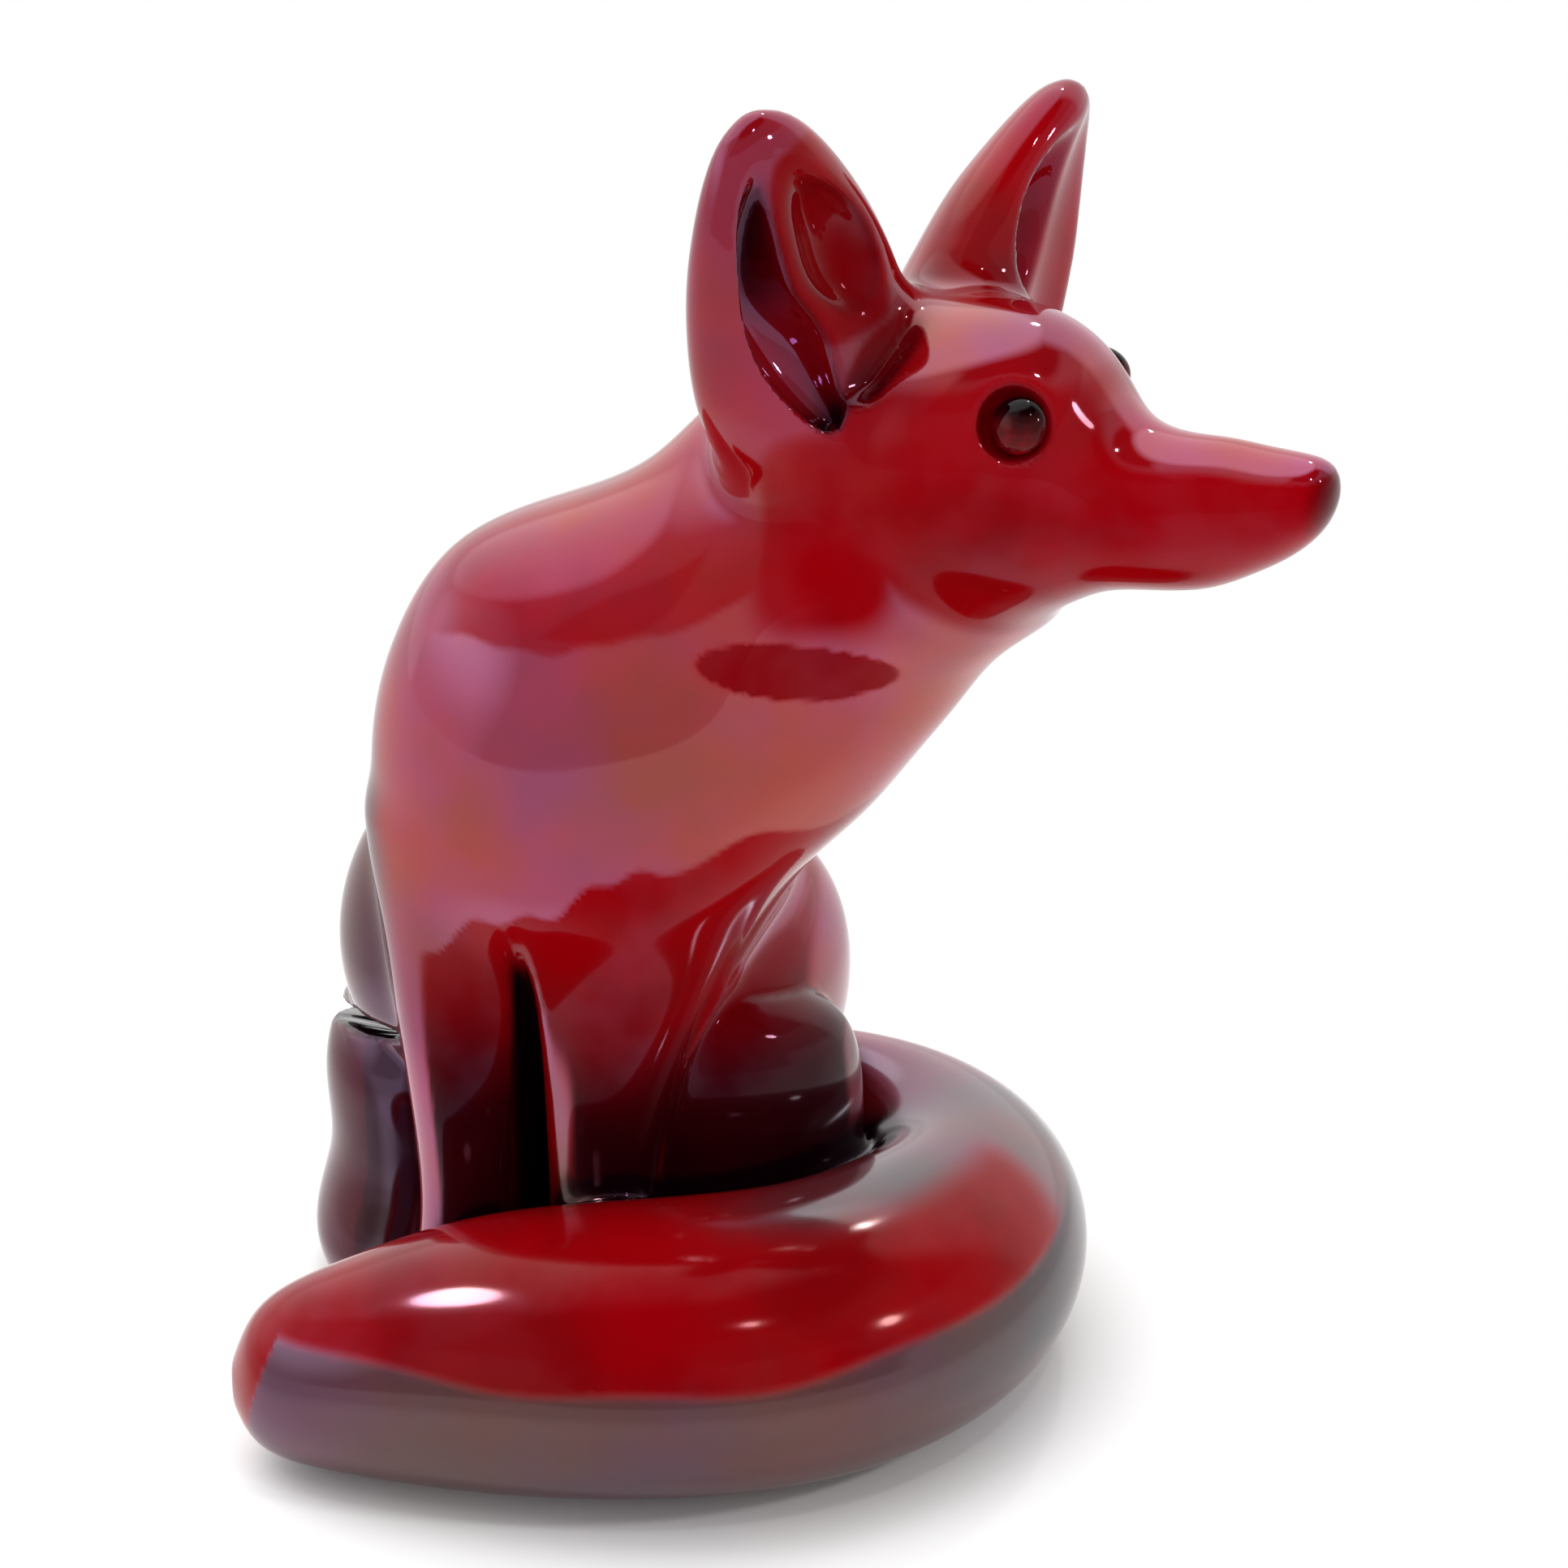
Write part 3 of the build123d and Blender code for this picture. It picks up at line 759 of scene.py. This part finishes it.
def chest_areas(points, normals, on_tail, hind_leg):
    """The areas of painted light on the chest and legs. The legs' upper edge is a parabola in the way across
    with two small sines. The band over the chest has such an edge at its foot and fades upwards. Below the
    jaw is an ellipse, tilted down to the fox's left."""
    across, front, height = points @ chest_across, points @ chest_front, points[:, 2]
    turning = normals @ chest_across
    wander = 0.7 * np.sin(across * 0.55) + 0.5 * np.sin(across * 1.3 + 1) * falling(across, 2.0, 10.0)
    chest_edge = 47.6 + 0.42 * across - 0.0105 * across ** 2 + wander
    legs = falling(height, chest_edge - 0.3, chest_edge + 0.3) * falling(-turning, 0.50, 0.62)
    legs = legs * falling(turning, 0.80, 0.88) * falling(-front, 2.0, 8.0) * falling(across, 26.0, 29.0)
    legs = legs * (1 - on_tail)
    band_foot = 66.9 + 0.05 * (across + 8) + 0.0125 * np.maximum(across + 4, 0) ** 2 + wander * 0.3
    over_foot = height - band_foot
    band = falling(over_foot, 0.0, 15.0) * (1 - falling(over_foot, -0.3, 0.3))
    band = band * falling(across, 20.0, 24.0) * falling(-across, 9.0, 14.0) * falling(-front, -6.0, 0.0)
    jaw_across, jaw_height = jaw_middle
    along_jaw = (across - jaw_across) / jaw_radii[0]
    up_jaw = (height - jaw_height + jaw_tilt * (across - jaw_across)) / jaw_radii[1]
    jaw = falling(along_jaw ** 2 + up_jaw ** 2, 0.85, 1.0) * falling(-front, -10.0, -6.0)
    return {
        "legs": legs * (1 - hind_leg),
        "low_legs": legs * falling(height, 24.0, 46.0),
        "band": band,
        "jaw": jaw,
    }


def tail_areas(points, normals, on_tail):
    """The areas of painted light on the tail: its top, above a line that wanders as a sine and rises to the
    fox's left, its foot, and its outer bend. The side that faces into the tail's curl is left out of the top."""
    across, height = points @ chest_across, points[:, 2]
    foot_line = tail_foot_line + 0.3 * np.sin(across * 0.3) + 0.06 * np.maximum(across - 10, 0)
    foot_line = foot_line - 3.0 * np.maximum(-10.5 - points[:, 0], 0)
    above = 1 - falling(height, foot_line - 0.6, foot_line + 0.6)
    from_curl = points[:, :2] - curl_middle
    facing_out = (normals[:, :2] * from_curl).sum(1) / np.linalg.norm(from_curl, axis=1)
    inner_side = (1 - falling(points[:, 0], 14.0, 24.0)) * falling(facing_out, 0.0, 0.35)
    top = on_tail * above * within(points, *tail_top_block) * (1 - inner_side)
    return {
        "tail_top": top,
        "tail_foot": on_tail * (1 - above),
        "tail_bend": within(points, *tail_bend_block) * (1 - top),
    }


def painted_light(points, normals, parts):
    """The painted light at each point: how far its reflections are painted darker, so that the clear red
    shows, how far it is painted silvery grey as a pale reflection, and how far it is painted darker as shade.
    Each is the most of its areas' shares."""
    on_tail = falling(sampled(parts["tail"], points), 0.3, 1.2)
    hind_leg = within(points, *hind_leg_block)
    areas = {"hind_leg": hind_leg, "right_toes": within(points, *right_toes_block)}
    areas.update(head_areas(points, normals, parts))
    areas.update(chest_areas(points, normals, on_tail, hind_leg))
    areas.update(tail_areas(points, normals, on_tail))
    return [
        np.maximum.reduce([areas[name] * share for name, share in shares.items()])
        for shares in (dark_reflection_shares, grey_reflection_shares, painted_shade_shares)
    ]


def eye_mesh(side):
    """A ball flattened along the way the eye looks, with points at its middle + its radii * (cos a * cos b,
    cos a * sin b, sin a)."""
    place, ways = eye_frame(side)
    middle = place - ways[2] * eye_sink
    a = np.linspace(-np.pi / 2, np.pi / 2, eye_rings + 2)[1:-1, None]
    b = np.linspace(0, 2 * np.pi, eye_turns, endpoint=False)[None, :]
    ball_points = np.stack([np.cos(a) * np.cos(b), np.cos(a) * np.sin(b), np.sin(a) + 0 * b], -1)
    ball_points = np.vstack([ball_points.reshape(-1, 3), (0, 0, -1), (0, 0, 1)])
    radii = np.array([eye_pellet / 2, eye_pellet / 2, eye_dome])
    here = np.arange(eye_rings * eye_turns).reshape(eye_rings, eye_turns)
    beside = np.roll(here, -1, axis=1)
    last = eye_rings * eye_turns
    faces = np.stack([here[:-1], beside[:-1], beside[1:], here[1:]], -1).reshape(-1, 4).tolist()
    faces += np.stack([np.full(eye_turns, last), beside[0], here[0]], -1).tolist()
    faces += np.stack([np.full(eye_turns, last + 1), here[-1], beside[-1]], -1).tolist()
    mesh = bpy.data.meshes.new(f"{side}_eye_bead")
    mesh.from_pydata((middle + (ball_points * radii) @ ways) / METRE, [], faces)
    return mesh


def colour(code):
    """An sRGB hex colour as linear red, green, blue and alpha."""
    values = np.array([int(code[k:k + 2], 16) for k in (1, 3, 5)]) / 255
    linear = np.where(values <= 0.04045, values / 12.92, ((values + 0.055) / 1.055) ** 2.4)
    return (*linear.tolist(), 1.0)


def add_node(tree, kind, settings=None, links=None):
    """Adds a node, sets its properties and socket values, and links its inputs from other sockets."""
    node = tree.nodes.new(kind)
    for name, value in (settings or {}).items():
        if name in node.inputs:
            node.inputs[name].default_value = value
        else:
            setattr(node, name, value)
    for name, source in (links or {}).items():
        tree.links.new(source, node.inputs[name])
    return node


def new_material(name):
    """An empty node material and its tree."""
    material = bpy.data.materials.new(name)
    material.use_nodes = True
    material.node_tree.nodes.clear()
    return material, material.node_tree


def ramp(tree, value, low, high):
    """0 at low, 1 at high, and a smooth step between."""
    node = add_node(tree, "ShaderNodeMapRange", {"interpolation_type": "SMOOTHSTEP"}, {"Value": value})
    node.inputs["From Min"].default_value = low
    node.inputs["From Max"].default_value = high
    return node.outputs["Result"]


def sums(tree, operation, *values):
    """One number from several, by adding, multiplying or taking the most."""
    total = values[0]
    for value in values[1:]:
        node = add_node(tree, "ShaderNodeMath", {"operation": operation})
        for socket, each in zip(node.inputs, (total, value)):
            if isinstance(each, float):
                socket.default_value = each
            else:
                tree.links.new(each, socket)
        total = node.outputs["Value"]
    return total


def mixed(tree, share, first, second):
    """One colour turning to another as the share goes from 0 to 1. Each is an sRGB code or a socket."""
    node = add_node(tree, "ShaderNodeMix", {"data_type": "RGBA"})
    tree.links.new(share, node.inputs["Factor"])
    for socket, each in zip((node.inputs[6], node.inputs[7]), (first, second)):
        if isinstance(each, str):
            socket.default_value = colour(each)
        else:
            tree.links.new(each, socket)
    return node.outputs[2]


def clouds(tree, layer, low, high):
    """Soft clouds of the layer's size, from 0 to 1 between the two noise levels."""
    place = add_node(tree, "ShaderNodeTexCoord").outputs["Object"]
    settings = {"Scale": METRE / cloud_sizes[layer], "Detail": 3.0, "Roughness": 0.55}
    noise = add_node(tree, "ShaderNodeTexNoise", settings, {"Vector": place})
    return ramp(tree, noise.outputs["Fac"], low, high)


def ground_height(tree):
    """How high a point stands over the ground, in metres."""
    place = add_node(tree, "ShaderNodeTexCoord").outputs["Object"]
    return add_node(tree, "ShaderNodeSeparateXYZ", links={"Vector": place}).outputs["Z"]


def lustre_glaze():
    """Red lustre glaze, fired on slip-cast earthenware: a clear deep red under a fine metal lustre, which
    gives a mirror gloss with a mauve and gold sheen. Its reflections are painted darker in some areas and
    silvery grey in others, and painted shade turns it near-black in the folds. It runs off edges, and it is
    wiped off the foot that the piece is fired on."""
    material, tree = new_material("red_lustre_glaze")
    # Painted light from the mesh: shade in the folds and dark areas, reflections painted darker, and
    # reflections painted silvery grey
    hollow, dark_reflection, thick = (
        add_node(tree, "ShaderNodeAttribute", {"attribute_name": name}).outputs["Fac"]
        for name in ("hollow", "painted_dark_reflection", "painted_grey_reflection")
    )
    height = ground_height(tree)
    red = mixed(tree, clouds(tree, "red", 0.40, 0.65), "#8c0006", "#770408")
    # Streaks in the reflections that are painted darker
    streaks = sums(tree, "MULTIPLY", clouds(tree, "painted_light", 0.35, 0.62), -0.14)
    dark_reflection = sums(tree, "MULTIPLY", dark_reflection, sums(tree, "ADD", streaks, 1.0))
    # The painted silvery grey reflection, in patches, turns the red plum-grey
    patches = sums(tree, "ADD", clouds(tree, "grey_sheen", 0.25, 0.75), 0.7)
    grey_sheen = sums(tree, "MULTIPLY", thick, patches, 0.6)
    red = mixed(tree, grey_sheen, red, "#3c2026")
    # Painted shade turns the folds and the dark areas near-black
    red = mixed(tree, ramp(tree, hollow, 0.08, 0.70), red, "#120106")
    foot = ramp(tree, height, *bare_foot_heights)
    red = mixed(tree, foot, red, "#c8b79c")
    tint = mixed(tree, clouds(tree, "tint", 0.38, 0.62), "#efc0ff", "#ffc3b2")
    # The gloss is tinted pale where a silvery grey reflection is painted, and dark where reflections are
    # painted darker
    tint = mixed(tree, grey_sheen, tint, "#dcebee")
    tint = mixed(tree, dark_reflection, tint, "#360818")
    cloudy = sums(tree, "MULTIPLY", clouds(tree, "gloss", 0.3, 0.7), 0.03)
    low_down = sums(tree, "MULTIPLY", ramp(tree, height, *dulling_heights), 0.05)
    gloss = sums(tree, "ADD", cloudy, low_down, sums(tree, "MULTIPLY", foot, 0.6), 0.04)
    shader = add_node(tree, "ShaderNodeBsdfPrincipled", {"IOR": 2.1}, {
        "Base Color": red, "Roughness": gloss, "Specular Tint": tint,
    })
    add_node(tree, "ShaderNodeOutputMaterial", links={"Surface": shader.outputs["BSDF"]})
    return material


def eye_glaze():
    """The same glaze lying thick over a clay pellet: near-black red with a wet gloss, and darkest at the top
    of the eye, in the shade of its lid."""
    material, tree = new_material("pooled_lustre_glaze")
    # Painted shade under the lid, darkest at the top of the eye
    upper = ramp(tree, ground_height(tree), *lid_shade_heights)
    darkened = mixed(tree, clouds(tree, "eye", 0.35, 0.65), "#7c0208", "#4a0206")
    shader = add_node(tree, "ShaderNodeBsdfPrincipled", {"IOR": 1.25, "Roughness": 0.05}, {
        "Base Color": mixed(tree, upper, darkened, "#080002"),
    })
    add_node(tree, "ShaderNodeOutputMaterial", links={"Surface": shader.outputs["BSDF"]})
    return material


# How far past its form each section is cut, in the order in which they are cut off
section_growths = {
    "tail": 1.0, "right_hind_foot": 0.4, "left_hind_foot": 0.4, "right_haunch": 1.0, "left_haunch": 1.0,
    "right_foreleg": 1.5, "left_foreleg": 1.5, "right_ear": 1.8, "left_ear": 1.8, "head": 1.6,
}
shell_nodes = {"body": "body_shell", "head": "head_shell"}
# The ways that the edges of the painted light are laid out by, level: across the chest, and out from it
cos_chest, sin_chest = turned(20.0)
chest_across = np.array([cos_chest, sin_chest, 0])
chest_front = np.array([sin_chest, -cos_chest, 0])
seam_depth = 0.12  # a face whose middle lies further than this from the skin is inside a seam

# How softly each section runs into the last, and how softly each carving's edge is rounded
fillets = {
    "neck": 3.2, "between_forelegs": 0.8, "forelegs": 5.0, "foreleg_slot": 1.2, "haunch": 2.0,
    "hind_foot": 0.5, "crease": 0.8, "tail": 1.6, "ear": 3.5, "ear_trim": 1.0, "eye_socket": 0.5,
}

# The areas of painted light on the glaze. A block has a middle, half sizes, and the share of them over which
# it fades out
cheek_block = ((3.0, 0.0, -4.0), (29.0, 60.0, 20.0), 0.08)  # in the head's own frame, as the nose's
nose_block = ((32.5, 0.0, 2.0), (2.6, 6.0, 4.0), 1.2)
neck_block = ((25.0, -11.0, 77.5), (4.5, 8.0, 7.0), 0.5)
tail_top_block = ((7.0, -37.0, 22.0), (46.0, 32.0, 60.0), 0.12)
tail_bend_block = ((45.0, -2.0, 21.0), (19.0, 24.0, 11.0), 0.6)
hind_leg_block = ((-26.0, 0.0, 24.0), (13.0, 30.0, 30.0), 0.4)
right_toes_block = ((-21.0, -10.0, 14.0), (6.0, 12.0, 9.0), 0.3)
dish_place = (0.12, 0.30, 0.60)  # shares of the right ear's width, depth and height
dish_half_sizes = (4.2, 4.0, 8.0)
dish_edge = 0.2
jaw_middle = (17.8, 65.9)  # the patch below the jaw, across the chest and up
jaw_radii = (8.6, 2.5)
jaw_tilt = 0.12
tail_foot_line = 14.6  # how far up the tail its foot is painted as a silvery grey reflection
curl_middle = (12.0, -2.0)
# How far each ear's reflections are painted darker
ear_dark_reflection = {"right": 0.5, "left": 0.8}
fold_dark_reflection = 0.85  # how far the reflections in a fold are painted darker
fold_edges = (0.25, 0.50)  # how hollow a fold is where its reflections begin to be painted darker, and where they are darkest
fold_reaches = (1.2, 2.4, 4.8)  # how far out from the skin its hollowness is felt for

# How far each area's reflections are painted darker, how far they are painted silvery grey, and how far the
# area is painted darker as shade
dark_reflection_shares = {
    "cheeks": 1.0, "legs": 1.0, "tail_top": 1.0, "band": 0.8, "jaw": 1.0, "ear_dish": 1.0, "ears": 1.0,
    "right_toes": 0.8, "hind_leg": 0.45, "tail_foot": 0.35,
}
grey_reflection_shares = {"tail_foot": 0.45, "tail_bend": 1.0, "hind_leg": 0.35}
painted_shade_shares = {
    "nose": 0.5, "tail_top": 0.2, "low_legs": 0.6, "jaw": 0.3, "tail_foot": 0.5, "hind_leg": 0.5,
}

# About how far the glaze has run in each of its layers, and how large the streaks and patches of painted
# reflection are, in millimetres
cloud_sizes = {"red": 18, "painted_light": 13, "grey_sheen": 20, "tint": 24, "gloss": 9, "eye": 3}
# Heights in metres at which each change of the glaze, and the painted shade under the eyes' lids, starts and
# is whole
bare_foot_heights = (0.0005, 0.0002)
dulling_heights = (0.030, 0.022)
lid_shade_heights = (0.0865, 0.0890)

part_distances = part_fields()
skin_field = softened(fox_field(part_distances))
skin_slopes = np.stack(np.gradient(skin_field, spacing), -1).astype(np.float32)
red_glaze = lustre_glaze()
for name, mesh in sections(*skin_mesh(skin_field, skin_slopes), part_distances).items():
    dress_section(mesh, skin_field, skin_slopes, part_distances)
    add_piece(f"glazed_{name}", mesh, red_glaze, shell_nodes.get(name, name))

bead_glaze = eye_glaze()
for side in sides:
    add_piece(f"{side}_eye_bead", eye_mesh(side), bead_glaze, f"{side}_eye")


# Directions that the studio is laid out by: the camera's right, and from the fox towards the camera
camera_turn = 20.0  # degrees to the fox's left
cos_camera, sin_camera = turned(camera_turn)
camera_right = np.array([cos_camera, sin_camera, 0.0])
camera_front = np.array([sin_camera, -cos_camera, 0.0])


floor_size = 8.0  # metres, as the next two
lit_middle = (0.010, -0.010, 0)  # round here the floor is lit, and so keeps the fox's shadow
lit_radii = (0.055, 0.11)


def floor_material():
    """Matt white card. It is lit near the fox and is seen as plain white away from it."""
    material, tree = new_material("white_card")
    card = add_node(tree, "ShaderNodeBsdfDiffuse", {"Color": colour("#fafafa")})
    plain = add_node(tree, "ShaderNodeEmission", {"Color": (1, 1, 1, 1), "Strength": 1.0})
    place = add_node(tree, "ShaderNodeTexCoord")
    shifted = add_node(
        tree, "ShaderNodeVectorMath", {"operation": "SUBTRACT"}, {"Vector": place.outputs["Object"]}
    )
    shifted.inputs[1].default_value = lit_middle
    length = add_node(
        tree, "ShaderNodeVectorMath", {"operation": "LENGTH"}, {"Vector": shifted.outputs["Vector"]}
    )
    away = ramp(tree, length.outputs["Value"], *lit_radii)
    path = add_node(tree, "ShaderNodeLightPath")
    seen = sums(tree, "MAXIMUM", path.outputs["Is Camera Ray"], path.outputs["Is Glossy Ray"],
                path.outputs["Is Transmission Ray"])
    mix = add_node(tree, "ShaderNodeMixShader")
    tree.links.new(sums(tree, "MULTIPLY", away, seen), mix.inputs[0])
    tree.links.new(card.outputs["BSDF"], mix.inputs[1])
    tree.links.new(plain.outputs["Emission"], mix.inputs[2])
    add_node(tree, "ShaderNodeOutputMaterial", links={"Surface": mix.outputs["Shader"]})
    return material


floor_mesh = bpy.data.meshes.new("floor")
corners = np.array([(-1, -1, 0), (1, -1, 0), (1, 1, 0), (-1, 1, 0)]) * floor_size / 2
floor_mesh.from_pydata(corners.tolist(), [], [(0, 1, 2, 3)])
floor_mesh.materials.append(floor_material())
floor = bpy.data.objects.new("floor", floor_mesh)
bpy.context.scene.collection.objects.link(floor)


# What the glaze mirrors: the middle of each patch of the surroundings, how near to it a way lies where the
# patch starts and where it is whole, as cosines, and its strength
surroundings = {
    "left_wall": (-camera_right, 0.52, 0.95, 1.0),
    "back_wall": (-camera_front, 0.10, 0.40, 1.25),
    "right_wall": (camera_right, 0.75, 0.90, 1.0),
    "ceiling": (unit(0.9 * up_way - 0.5 * camera_front - 0.35 * camera_right), 0.72, 0.86, 1.9),
    "window": (unit(0.6 * up_way - 0.8 * camera_right), 0.78, 0.86, 0.6),
}
# The grey room, which darkens upwards in steps: where each step starts and ends, and how much it takes off
room_steps = ((0.62, 0.56, 0.3), (0.90, 0.80, 0.35))
darkest = 0.03


def studio():
    """White where the camera looks past the fox. What the glaze mirrors is the brightest of the patches, the
    room and the dark. The left wall is brighter higher up, and the right one shows only low down."""
    world = bpy.data.worlds.new("studio")
    bpy.context.scene.world = world
    world.use_nodes = True
    tree = world.node_tree
    tree.nodes.clear()
    way = add_node(tree, "ShaderNodeTexCoord").outputs["Generated"]

    def towards(direction):
        """The cosine of the angle to a direction."""
        node = add_node(tree, "ShaderNodeVectorMath", {"operation": "DOT_PRODUCT"}, {"Vector": way})
        node.inputs[1].default_value = direction
        return node.outputs["Value"]

    up = towards(up_way)
    patches = {
        name: sums(tree, "MULTIPLY", ramp(tree, towards(middle), start, whole), strength)
        for name, (middle, start, whole, strength) in surroundings.items()
    }
    higher = sums(tree, "MULTIPLY", ramp(tree, up, 0.02, 0.40), 1.1)
    patches["left_wall"] = sums(tree, "MULTIPLY", patches["left_wall"], sums(tree, "ADD", higher, 0.9))
    patches["right_wall"] = sums(tree, "MULTIPLY", patches["right_wall"], ramp(tree, up, 0.40, 0.15))
    room = sums(tree, "ADD", *(
        sums(tree, "MULTIPLY", ramp(tree, up, start, end), lost) for start, end, lost in room_steps
    ))
    level = sums(tree, "MAXIMUM", *patches.values(), room, darkest)
    path = add_node(tree, "ShaderNodeLightPath")
    strength = sums(tree, "MAXIMUM", level, path.outputs["Is Camera Ray"])
    sky = add_node(tree, "ShaderNodeBackground", {"Color": (1, 1, 1, 1)}, {"Strength": strength})
    add_node(tree, "ShaderNodeOutputWorld", links={"Surface": sky.outputs["Background"]})


studio()

# Each lamp: degrees to the camera's right, degrees up, metres away, metres across, watts, mirrored or not
lamps = {
    "overhead_softbox": (-30.0, 75.0, 1.0, 0.9, 4.0, False),
    "left_softbox": (-115.0, 5.0, 1.0, 0.7, 0.5, False),
    "right_lamp": (65.0, 35.0, 1.0, 0.10, 1.6, True),
    "top_lamp": (30.0, 62.0, 1.0, 0.05, 0.5, True),
    "left_lamp": (-93.0, 60.0, 1.0, 0.26, 13.0, True),
    "rear_lamp": (160.0, 50.0, 1.0, 0.06, 0.6, True),
}
lamp_targets = {"left_lamp": "glazed_tail"}  # a lamp that gives its highlight to one section only
lamps_middle = np.array([0.02, 0.0, 0.05])  # metres
for name, (side_angle, rise, distance, across, watts, mirrored) in lamps.items():
    cos_side, sin_side = turned(side_angle)
    cos_rise, sin_rise = turned(rise)
    way = (camera_front * cos_side + camera_right * sin_side) * cos_rise + up_way * sin_rise
    data = bpy.data.lights.new(name, "AREA")
    data.shape = "DISK"
    data.size = across
    data.energy = watts
    lamp = bpy.data.objects.new(name, data)
    lamp.location = lamps_middle + way * distance
    lamp.rotation_euler = (np.radians(90 - rise), 0, np.arctan2(way[0], -way[1]))
    lamp.visible_glossy = mirrored
    lamp.visible_camera = False
    bpy.context.scene.collection.objects.link(lamp)
    if name in lamp_targets:
        lit = bpy.data.collections.new(f"{name}_lights")
        lit.objects.link(bpy.data.objects[lamp_targets[name]])
        lamp.light_linking.receiver_collection = lit
        lamp.visible_diffuse = False

# The camera stands where the photograph's did, 25 degrees up
camera_rise = 25.0
camera_distance = 350.0
camera_target = np.array([19.4, -4.5, 52.0])
camera_lens = 95.87
camera_sensor = 36.0
cos_rise, sin_rise = turned(camera_rise)
camera_data = bpy.data.cameras.new("camera")
camera_data.lens = camera_lens
camera_data.sensor_width = camera_sensor
camera_data.clip_start = 0.01
camera_data.clip_end = 20.0
camera = bpy.data.objects.new("camera", camera_data)
camera_back = camera_front * cos_rise + up_way * sin_rise
camera.location = (camera_target + camera_back * camera_distance) / METRE
camera.rotation_euler = (np.radians(90 - camera_rise), 0, np.radians(camera_turn))
bpy.context.scene.collection.objects.link(camera)
bpy.context.scene.camera = camera
bpy.context.scene.view_settings.view_transform = "Standard"
